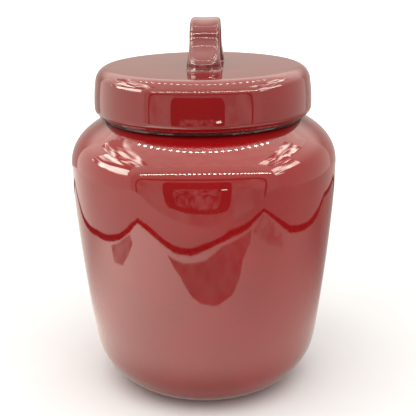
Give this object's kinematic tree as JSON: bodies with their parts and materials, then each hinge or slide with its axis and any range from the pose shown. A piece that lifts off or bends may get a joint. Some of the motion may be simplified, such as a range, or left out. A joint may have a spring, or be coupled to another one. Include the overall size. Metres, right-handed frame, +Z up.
{
  "type": "lidded ceramic jar",
  "caption": "Glazed ceramic storage jar with rounded shoulders and a flat cap lid that lifts off by a strap handle and seals with a ring.",
  "frame": {"origin": "middle of the foot, on the surface that the jar stands on", "axes": "+Z up along the jar's axis, X along the strap handle"},
  "size_m": [0.165, 0.165, 0.2315],
  "materials": {
    "glazed_stoneware": "gloss red glaze",
    "silicone": "satin"
  },
  "bodies": {
    "jar": {"jar_body": "glazed_stoneware"},
    "seal": {"lid_seal": "silicone"},
    "lid": {"lid": "glazed_stoneware", "lid_handle": "glazed_stoneware"}
  },
  "joints": [
    {"name": "lid_lift", "type": "slide", "parent": "jar", "child": "seal", "axis": [0, 0, 1], "range_m": [0, 0.12]},
    {"name": "lid_turn", "type": "hinge", "parent": "seal", "child": "lid", "pos_m": [0, 0, 0.1785], "axis": [0, 0, 1], "continuous": true}
  ]
}
